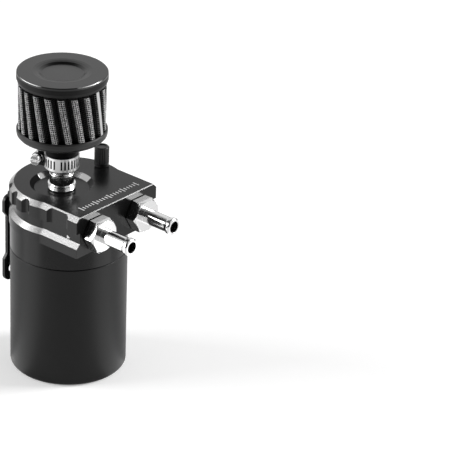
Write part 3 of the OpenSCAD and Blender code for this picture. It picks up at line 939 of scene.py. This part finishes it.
@dataclass(frozen=True)
class Viewpoint:
    """The photograph's camera, as fitted to the object's circles and edges."""

    azimuth: float = -50.591
    elevation: float = 26.939
    roll: float = 2.241
    offset: tuple[float, float, float] = (-91.427, -67.092, -1493.385)
    lens: float = 208.85
    sensor: float = 36.0
    clip: tuple[float, float] = (0.05, 50.0)

    def build(self) -> None:
        """Makes the camera and hands it to the scene."""
        az, el, roll = (math.radians(v) for v in (self.azimuth, self.elevation, self.roll))
        right = Vector((math.cos(az), math.sin(az), 0))
        up = Vector((-math.sin(az) * math.sin(el), math.cos(az) * math.sin(el), math.cos(el)))
        back = Vector((math.sin(az) * math.cos(el), -math.cos(az) * math.cos(el), math.sin(el)))
        level = math.cos(roll) * right + math.sin(roll) * up
        rise = -math.sin(roll) * right + math.cos(roll) * up
        rows = Matrix((level, rise, back))
        place = -(rows.transposed() @ Vector(self.offset)) * MM
        data = bpy.data.cameras.new("camera")
        data.lens = self.lens
        data.sensor_width = self.sensor
        data.sensor_fit = "HORIZONTAL"
        data.clip_start, data.clip_end = self.clip
        camera = bpy.data.objects.new("camera", data)
        bpy.context.scene.collection.objects.link(camera)
        camera.matrix_world = Matrix.Translation(place) @ rows.transposed().to_4x4()
        bpy.context.scene.camera = camera


@dataclass
class Studio:
    """A white room with soft lamps, dark along the horizon and in a strip behind and over the camera."""

    floor_r: float = 6.0
    floor_drop: float = 0.00005
    floor_level: float = 0.92
    floor_glow: float = 0.32
    side_glow: float = 1.1
    side_band: tuple[float, float] = (0.12, 0.57)
    sky: float = 0.6
    shown: float = 1.0
    horizon: tuple[float, float] = (0.06, 0.16)
    horizon_light: float = 0.15
    behind: tuple[float, float] = (0.0, 0.12)
    behind_half: tuple[float, float] = (0.40, 0.55)
    overhead: tuple[float, float] = (0.70, 0.85)
    overhead_half: tuple[float, float] = (0.75, 0.98)
    strip_dark: float = 0.96
    aim: tuple[float, float, float] = (0.0, 0.0, 0.09)

    def build(self) -> None:
        """Makes the floor, the sky and the lamps."""
        bpy.context.scene.view_settings.view_transform = "Standard"
        self.lay_floor()
        self.light_sky()
        self.lamp("left", place=(-1.25, 1.35, 0.75), size=1.0, power=27.0)
        self.lamp("right", place=(1.38, -1.13, 1.0), size=0.7, power=30.0)

    def lay_floor(self) -> None:
        """Makes the pale floor, which the camera and mirrors see against the white room."""
        bm = bmesh.new()
        bmesh.ops.create_circle(bm, cap_ends=True, radius=self.floor_r, segments=96)
        bmesh.ops.translate(bm, verts=bm.verts, vec=(0, 0, -self.floor_drop))
        floor = add_object("floor", bm)
        s = Surface("floor_paint")
        x, y, _, away = s.around()
        facing = (x * FRONT[0] + y * FRONT[1]) / away
        mirrored = s.wire(s.node("ShaderNodeLightPath").outputs["Is Glossy Ray"])
        beside = mirrored * facing.band(*self.side_band, soft=0.14)
        glow = self.seen(s) * self.floor_glow + beside * self.side_glow
        s.set({
            "Base Color": grey(self.floor_level), "Roughness": 0.9, "Specular IOR Level": 0.0,
            "Emission Color": grey(1.0), "Emission Strength": glow,
        })
        floor.data.materials.append(s.material)

    def light_sky(self) -> None:
        """Makes the sky: white where it is seen, less where it lights, and shaded towards its dark parts."""
        world = bpy.data.worlds.new("room")
        bpy.context.scene.world = world
        world.use_nodes = True
        g = Graph(world.node_tree)
        g.tree.nodes.clear()
        way = g.node("ShaderNodeTexCoord").outputs["Generated"]
        height = g.wire(g.node("ShaderNodeSeparateXYZ", inputs={0: way}).outputs[2])
        facing, aside = (
            g.wire(g.node("ShaderNodeVectorMath", {"operation": "DOT_PRODUCT"}, {0: way, 1: side}).outputs[1])
            for side in ((*FRONT, 0.0), (*RIGHT, 0.0))
        )
        horizon = height.step(*self.horizon) * (1.0 - self.horizon_light) + self.horizon_light
        behind = facing.step(*self.behind) * (1.0 - aside.size().step(*self.behind_half))
        overhead = height.step(*self.overhead) * (1.0 - aside.size().step(*self.overhead_half))
        strip = 1.0 - behind.math("MAXIMUM", overhead) * self.strip_dark
        strength = (self.seen(g) * (self.shown - self.sky) + self.sky) * horizon * strip
        sky = g.node("ShaderNodeBackground", inputs={"Color": grey(1.0), "Strength": strength})
        g.node("ShaderNodeOutputWorld", inputs={0: sky})

    def seen(self, graph: Graph) -> Wire:
        """One for the rays by which the camera, metal and glass see the room.

        Args:
            graph: the writer of the tree that asks.

        Returns:
            The mask.
        """
        path = graph.node("ShaderNodeLightPath")
        seen = graph.wire(path.outputs["Is Camera Ray"])
        for name in ("Is Glossy Ray", "Is Transmission Ray"):
            seen = seen.math("MAXIMUM", graph.wire(path.outputs[name]))
        return seen

    def lamp(self, name: str, place: tuple[float, float, float], size: float, power: float) -> None:
        """Adds one square soft lamp that looks at the object.

        Args:
            name: the lamp's name.
            place: its place in metres.
            size: its side in metres.
            power: its power in watts.
        """
        data = bpy.data.lights.new(name, "AREA")
        data.shape = "SQUARE"
        data.size = size
        data.energy = power
        lamp = bpy.data.objects.new(name, data)
        bpy.context.scene.collection.objects.link(lamp)
        lamp.location = place
        towards = Vector(self.aim) - Vector(place)
        lamp.rotation_euler = towards.to_track_quat("-Z", "Y").to_euler()


@dataclass
class SubAssembly:
    """Pieces that are made together, and the workshop that dresses them."""

    shop: Workshop

    def build(self) -> None:
        """Makes and dresses the pieces."""
        raise NotImplementedError


@dataclass
class Can(SubAssembly):
    """The round can under the lid, and its seal."""

    ease: float = 0.1
    shoulder_slope: tuple[float, float] = (0.55, 0.85)
    shoulder_drop: float = 1.5
    shoulder_r: float = 30.0
    thread_below_seam: float = 0.1
    thread_below_top: float = 0.6
    seam: float = field(init=False)

    def build(self) -> None:
        """Makes the can with eased edges and a bright shoulder."""
        neck_top, self.seam = span("can_body")[1].z, span("lid_block")[0].z
        can = eased_copy("can_body", "can_turned", self.ease)
        mark_cuts_and_light(can, self.face_level)
        thread = (self.seam - self.thread_below_seam, neck_top - self.thread_below_top)
        black = TurnedAnodised("turned_black", *thread)
        self.shop.place(can, Body.CAN, Slot.ANODISED, black, "can_body")
        self.shop.dress("can_seal", SEAL_RUBBER)

    def face_level(self, at: Vector, normal: Vector) -> float:
        """Gives 1 on the sloped shoulder just under the lid's seam.

        Args:
            at: the face's middle in millimetres.
            normal: its normal.

        Returns:
            1 on the shoulder and 0 elsewhere.
        """
        steep, flat = self.shoulder_slope
        near_seam = self.seam - self.shoulder_drop < at.z < self.seam
        return float(steep < normal.z < flat and near_seam and at.xy.length > self.shoulder_r)


@dataclass
class Lid(SubAssembly):
    """The milled lid with its bright chamfers, and the marks on it."""

    ease: float = 0.10
    cut_slope: tuple[float, float] = (0.6, 0.8)
    cut_above: float = 88.0
    cut_and_highlight: float = 1.0
    painted_reflection_cut: float = 0.5
    port_cut: float = 0.28
    port_facing: float = -0.6
    # The recess's wall: bright metal on its back as a painted reflection, a band of painted highlight, and
    # painted shade on its ends and sides.
    recess_r: float = 17.2
    reflection_back: float = 0.47
    shade_end_side: float = -0.82
    highlight_side: tuple[float, float] = (0.25, 0.6)
    shade_end_front: float = -0.5
    painted_end_shade: float = -0.7
    painted_side_shade: float = -0.4
    tick_from: tuple[float, float] = (-20.3, -27.8)
    tick_pitch: float = 2.1
    tick_count: int = 21
    tick_group: int = 5
    tick_size: tuple[float, float, float] = (0.7, 4.2, 0.06)
    tick_short: float = 0.55
    groove_wall: float = -28.1
    arrow_y: float = -26.1
    arrow_z: float = 93.5
    arrow_size: float = 2.2
    arrow_proud: float = 0.03
    arrow_sunk: float = 0.05
    recess: Vector = field(init=False)

    def build(self) -> None:
        """Makes the lid, the row of ticks and the arrow."""
        self.recess = middle("filter_cap")
        lid = eased_copy("lid_block", "lid_milled", self.ease)
        mark_cuts_and_light(lid, self.face_level)
        self.shop.place(lid, Body.LID, Slot.ANODISED, MilledAnodised("milled_black"), "lid_block")
        mark = LaserMark("laser_mark")
        self.shop.place(self.tick_row(self.shop.finish(mark)), Body.LID, Slot.POLISHED, mark)
        self.shop.place(self.arrow(), Body.LID, Slot.POLISHED, mark)

    def face_level(self, at: Vector, normal: Vector) -> float:
        """Says how a face of the lid was cut, and where light or shade is painted in its recess.

        Args:
            at: the face's middle in millimetres.
            normal: its normal.

        Returns:
            1 on the bright chamfers and on a band of painted highlight on the recess's wall, 0.5 on the back
            of that wall, bright metal as a painted reflection, less on the edge over the ports, below 0 where
            shade is painted on the wall's ends and sides, 0 elsewhere.
        """
        if not (self.cut_slope[0] < normal.z < self.cut_slope[1] and at.z > self.cut_above):
            return 0.0
        out = at.xy - self.recess
        if out.length > self.recess_r:
            return self.port_cut if normal.y < self.port_facing else self.cut_and_highlight
        way = out.normalized()
        back, side = -way.dot(FRONT), way.dot(RIGHT)
        # Painted light on the recess's wall: reflection and highlight on its back, shade on its ends and
        # sides.
        if back > self.reflection_back and side > self.shade_end_side:
            return self.cut_and_highlight if self.highlight_side[0] < side < self.highlight_side[1] else self.painted_reflection_cut
        if side < self.shade_end_side and back > self.shade_end_front:
            return self.painted_end_shade
        return self.painted_side_shade if back > 0.0 else 0.0

    def tick_row(self, material: bpy.types.Material) -> bpy.types.Object:
        """Makes the row of engraved ticks on the lid's top, every fifth one long.

        Args:
            material: the marks' material.

        Returns:
            The row as one piece.
        """
        start = (*self.tick_from, span("lid_block")[1].z)
        rig = NodeRig("tick_row")
        rig.ask(
            Count=self.tick_count,
            Pitch=(self.tick_pitch * MM, 0.0, 0.0),
            Start=tuple(v * MM for v in start),
            Tick=tuple(v * MM for v in self.tick_size),
            Material=material,
        )
        line = rig.node(
            "GeometryNodeMeshLine", {"mode": "OFFSET"},
            {"Count": rig.given("Count"), "Start Location": rig.given("Start"), "Offset": rig.given("Pitch")},
        )
        tick = rig.node("GeometryNodeMeshCube", inputs={"Size": rig.given("Tick")})
        index = rig.wire(rig.node("GeometryNodeInputIndex").outputs[0])
        is_long = index.math("MODULO", float(self.tick_group)).math("COMPARE", 0.0, 0.1)
        length = is_long * (1.0 - self.tick_short) + self.tick_short
        scale = rig.node("ShaderNodeCombineXYZ", inputs={"X": 1.0, "Y": length, "Z": 1.0})
        rig.close(rig.copies(line, tick, Scale=scale))
        return rig.apply(add_object("tick_marks"))

    def arrow(self) -> bpy.types.Object:
        """Makes the flow arrow on the groove's wall, a thin triangle that points at the port.

        Returns:
            The arrow.
        """
        half = self.arrow_size / 2
        tip, foot = self.arrow_y - half, self.arrow_y + half
        flat = ((tip, self.arrow_z), (foot, self.arrow_z - half), (foot, self.arrow_z + half))
        bm = bmesh.new()
        outer, inner = (
            [bm.verts.new(Vector((x, y, z)) * MM) for y, z in flat]
            for x in (self.groove_wall - self.arrow_proud, self.groove_wall + self.arrow_sunk)
        )
        bm.faces.new(outer)
        bm.faces.new(inner)
        for i in range(3):
            j = (i + 1) % 3
            bm.faces.new((outer[i], outer[j], inner[j], inner[i]))
        bmesh.ops.recalc_face_normals(bm, faces=bm.faces)
        return add_object("flow_arrow", bm)


@dataclass
class Fittings(SubAssembly):
    """The two hose fittings on the port face and the breather fitting that carries the filter."""

    hose_ease: float = 0.10
    breather_ease: float = 0.08

    def build(self) -> None:
        """Makes the fittings with eased edges, and dresses their seals."""
        hose_metal = TurnedMetal("turned_along_y", Axis.Y, bright=0.69, rough=0.15)
        for name, ease, metal in (
            ("inlet", self.hose_ease, hose_metal),
            ("outlet", self.hose_ease, hose_metal),
            ("breather", self.breather_ease, TURNED_UPRIGHT),
        ):
            node = f"{name}_fitting"
            self.shop.place(eased_copy(node, f"{node}_turned", ease), Body.LID, Slot.POLISHED, metal, node)
            self.shop.dress(f"{name}_seal", SEAL_RUBBER)


@dataclass
class Filter(SubAssembly):
    """The breather filter: rubber rings, pleats, gauze, seam strip and cap."""

    crest_r: float = 22.9
    pleat_depth: float = 4.5
    pleats: int = 20
    lean: float = 12.0
    first_crest: float = 220.5
    crest_half: float = 0.11
    shoulder_half: float = 0.19
    shoulder_drop: float = 0.4
    valley_from: float = 0.4
    wire_r: float = 0.14
    wire_sides: int = 4
    wire_pitch: float = 1.15
    wire_points: int = 9
    stand_off: float = 0.13
    lift: float = 0.4
    shade_rise: float = 7.0
    x: float = field(init=False)
    y: float = field(init=False)
    edge_r: float = field(init=False)
    top: float = field(init=False)
    bottom: float = field(init=False)
    show: float = field(init=False)

    def __post_init__(self) -> None:
        """Reads the filter's place and the height of pleats that shows from the solids."""
        low, high = span("filter_cap")
        self.x, self.y = (low.x + high.x) / 2, (low.y + high.y) / 2
        self.edge_r = (high.x - low.x) / 2
        self.top = high.z
        self.bottom = span("filter_base")[1].z
        self.show = span("filter_top_rim")[0].z - self.bottom

    def build(self) -> None:
        """Makes the filter's pieces."""
        # Painted shade on the rubber below this height.
        shade_line = span("clamp_band")[1].z + self.shade_rise
        self.shop.dress("filter_base", MouldedRubber("base_rubber", level=0.012, shade_below=shade_line))
        self.shop.dress("filter_top_rim", MouldedRubber("rim_rubber", level=0.004, gloss=0.15))
        pleats = (self.x, self.y, self.crest_r, self.crest_r - self.pleat_depth)
        self.shop.dress("filter_media", PleatedCotton("pleated_cotton", *pleats))
        self.shop.dress("filter_cap", PaintedCap("painted_cap", self.x, self.y, self.top, self.edge_r))
        strip = TurnedMetal("strip_steel", Axis.Z, bright=0.45, rough=0.42, ring_mm=2.0)
        self.shop.dress("filter_seam_strip", strip)
        wire = GauzeWire("gauze_wire", *pleats)
        self.shop.place(self.gauze(self.shop.finish(wire)), Body.LID, Slot.STEEL, wire)

    def outline(self) -> list[Vector]:
        """The folded outline at the pleats' lower end, a wire's stand-off outside the cotton.

        Returns:
            Its points in millimetres from the filter's axis.
        """
        shoulder, valley = self.crest_r - self.shoulder_drop, self.crest_r - self.pleat_depth
        fold = (
            (-self.shoulder_half, shoulder), (-self.crest_half, self.crest_r),
            (self.crest_half, self.crest_r), (self.shoulder_half, shoulder),
            (self.valley_from, valley), (1.0 - self.valley_from, valley),
        )
        pitch = 2 * math.pi / self.pleats
        start = math.radians(self.first_crest + self.lean)
        ring = [
            Vector((r * math.cos(start + (i + a) * pitch), r * math.sin(start + (i + a) * pitch)))
            for i in range(self.pleats) for a, r in fold
        ]
        moved = []
        for i, at in enumerate(ring):
            before, after = (at - ring[i - 1]).normalized(), (ring[(i + 1) % len(ring)] - at).normalized()
            n0, n1 = Vector((before.y, -before.x)), Vector((after.y, -after.x))
            outward = (n0 + n1).normalized()
            moved.append(at + outward * (self.stand_off / max(0.5, outward.dot(n0))))
        return moved

    def gauze(self, material: bpy.types.Material) -> bpy.types.Object:
        """Weaves the wire gauze that covers the pleats and leans with them.

        Args:
            material: the wire's material.

        Returns:
            The gauze as one piece.
        """
        ring = self.outline()
        edges = [(i, (i + 1) % len(ring)) for i in range(len(ring))]
        gauze = add_object("wire_gauze")
        gauze.data.from_pydata([(p.x * MM, p.y * MM, 0) for p in ring], edges, [])
        rows = int(self.show / self.wire_pitch)
        rig = NodeRig("wire_gauze")
        rig.ask(
            Rows=rows,
            Pitch=self.wire_pitch * MM,
            Height=(rows - 1) * self.wire_pitch * MM,
            Twist=-math.radians(self.lean) / (self.show * MM),
            Wire=self.wire_r * MM,
            Place=(self.x * MM, self.y * MM, (self.bottom + self.lift) * MM),
            Material=material,
        )
        climb = rig.node("ShaderNodeCombineXYZ", inputs={"Z": rig.given("Pitch")})
        steps = {"Count": rig.given("Rows"), "Offset": climb}
        levels = rig.node("GeometryNodeMeshLine", {"mode": "OFFSET"}, steps)
        weft = rig.copies(levels, rig.given("Geometry"))
        loop = rig.node("GeometryNodeMeshToCurve", inputs={0: rig.given("Geometry")})
        spacing = {"Curve": loop, "Length": rig.given("Pitch")}
        spaced = rig.node("GeometryNodeResampleCurve", {"mode": "LENGTH"}, spacing)
        top = rig.node("ShaderNodeCombineXYZ", inputs={"Z": rig.given("Height")})
        reach = {"Count": self.wire_points, "Offset": top}
        upright = rig.node("GeometryNodeMeshLine", {"mode": "END_POINTS"}, reach)
        warp = rig.copies(spaced, upright)
        both = rig.node("GeometryNodeJoinGeometry")
        for threads in (weft, warp):
            rig.feed(both.inputs[0], threads)
        real = rig.node("GeometryNodeRealizeInstances", inputs={0: both})
        place = rig.node("GeometryNodeInputPosition")
        height = rig.wire(rig.node("ShaderNodeSeparateXYZ", inputs={0: place}).outputs[2])
        turned = rig.node(
            "ShaderNodeVectorRotate", {"rotation_type": "Z_AXIS"},
            {"Vector": place, "Angle": height * rig.wire(rig.given("Twist"))},
        )
        terms = {0: turned, 1: rig.given("Place")}
        shifted = rig.node("ShaderNodeVectorMath", {"operation": "ADD"}, terms)
        moved = {0: real, "Position": shifted}
        leaning = rig.node("GeometryNodeSetPosition", inputs=moved)
        wires = rig.node("GeometryNodeMeshToCurve", inputs={0: leaning})
        circle = {"Resolution": self.wire_sides, "Radius": rig.given("Wire")}
        section = rig.node("GeometryNodeCurvePrimitiveCircle", inputs=circle)
        sweep = {"Curve": wires, "Profile Curve": section}
        rig.close(rig.node("GeometryNodeCurveToMesh", inputs=sweep))
        return rig.apply(gauze)


@dataclass
class HoseClamp(SubAssembly):
    """The worm-drive clamp round the filter's neck."""

    band_ease: float = 0.03
    housing_ease: float = 0.15
    screw_ease: float = 0.28
    # The slots' walls, the housing's mouth and the screw's end are painted with shade.
    slot_facing: float = 0.5
    slot_margin: float = 0.3
    mouth_facing: float = 0.7
    end_facing: float = 0.95
    end_shade: float = 0.85
    centre: Vector = field(init=False)
    outward: Vector = field(init=False)
    slots: tuple[float, float] = field(init=False)

    def __post_init__(self) -> None:
        """Reads the clamp's middle, the way that its screw faces and its slots' heights from the solids."""
        self.centre = middle("filter_cap")
        self.outward = (middle("clamp_screw") - middle("clamp_housing")).normalized()
        low, high = span("clamp_band")
        self.slots = (low.z + self.slot_margin, high.z - self.slot_margin)

    def build(self) -> None:
        """Makes the clamp's pieces."""
        steel = TurnedMetal("clamp_steel", Axis.Z, bright=0.5, rough=0.30, ring_mm=0.8)
        plated = TurnedMetal("plated_screw", Axis.Z, bright=0.9, rough=0.22, ring_mm=0.8)
        for node, ease, metal, level in (
            ("clamp_band", self.band_ease, steel, self.slot_shade_level),
            ("clamp_housing", self.housing_ease, steel, self.mouth_shade_level),
            ("clamp_screw", self.screw_ease, plated, self.end_shade_level),
        ):
            piece = eased_copy(node, f"{node}_pressed", ease)
            mark_cuts_and_light(piece, level)
            self.shop.place(piece, Body.LID, Slot.STEEL, metal, node)

    def slot_shade_level(self, at: Vector, normal: Vector) -> float:
        """Gives 1, painted shade, on the walls of the band's slots and 0 elsewhere."""
        facing = (at.xy - self.centre).normalized().dot(normal.xy)
        return float(facing < self.slot_facing and self.slots[0] < at.z < self.slots[1])

    def mouth_shade_level(self, _: Vector, normal: Vector) -> float:
        """Gives 1, painted shade, on the end of the housing that the screw comes from and 0 elsewhere."""
        return float(normal.xy.dot(self.outward) > self.mouth_facing)

    def end_shade_level(self, _: Vector, normal: Vector) -> float:
        """Gives the painted shade of the screw's end face, and 0 elsewhere."""
        return self.end_shade if normal.xy.dot(self.outward) > self.end_facing else 0.0


@dataclass
class Dipstick(SubAssembly):
    """The knurled knob, its rod and its washer."""

    ease: float = 0.05

    def build(self) -> None:
        """Makes the dipstick's pieces."""
        knob = eased_copy("dipstick_knob", "dipstick_knob_knurled", self.ease)
        black = MilledAnodised("knob_black", dark=0.01, dark_rough=0.3, gloss=0.3)
        self.shop.place(knob, Body.DIPSTICK, Slot.ANODISED, black, "dipstick_knob")
        self.shop.dress("dipstick_rod", TurnedMetal("rod_steel", Axis.Z, bright=0.7, rough=0.25))
        self.shop.dress("dipstick_seal", SEAL_RUBBER)


@dataclass
class Bracket(SubAssembly):
    """The wall bracket and its two screws."""

    ease: float = 0.25

    def build(self) -> None:
        """Makes the bracket's pieces."""
        plate = eased_copy("bracket_plate", "bracket_plate_coated", self.ease)
        self.shop.place(plate, Body.LID, Slot.BRACKET, PowderCoat("powder_coat"), "bracket_plate")
        self.shop.dress("bracket_screws", TurnedMetal("screw_steel", Axis.Y, bright=0.6, rough=0.3))


@dataclass
class Baffle(SubAssembly):
    """The perforated baffle under the lid's roof."""

    def build(self) -> None:
        """Dresses the baffle's pieces."""
        rolled = TurnedMetal("baffle_steel", Axis.X, bright=0.66, rough=0.32, ring_mm=0.5)
        self.shop.dress("baffle_plate", rolled)
        self.shop.dress("baffle_spacers", TURNED_UPRIGHT)
        self.shop.dress("baffle_screws", TurnedMetal("baffle_screw_steel", Axis.Z, bright=0.6, rough=0.3))


def main() -> None:
    """Builds the camera, the studio and every sub-assembly in order."""
    logging.basicConfig(level=logging.INFO, format="%(name)s: %(message)s")
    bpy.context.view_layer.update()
    Viewpoint().build()
    Studio().build()
    shop = Workshop()
    for kind in (Can, Lid, Fittings, Filter, HoseClamp, Dipstick, Bracket, Baffle):
        kind(shop).build()
        LOG.info("%s done", kind.__name__)


if __name__ == "__main__":
    main()
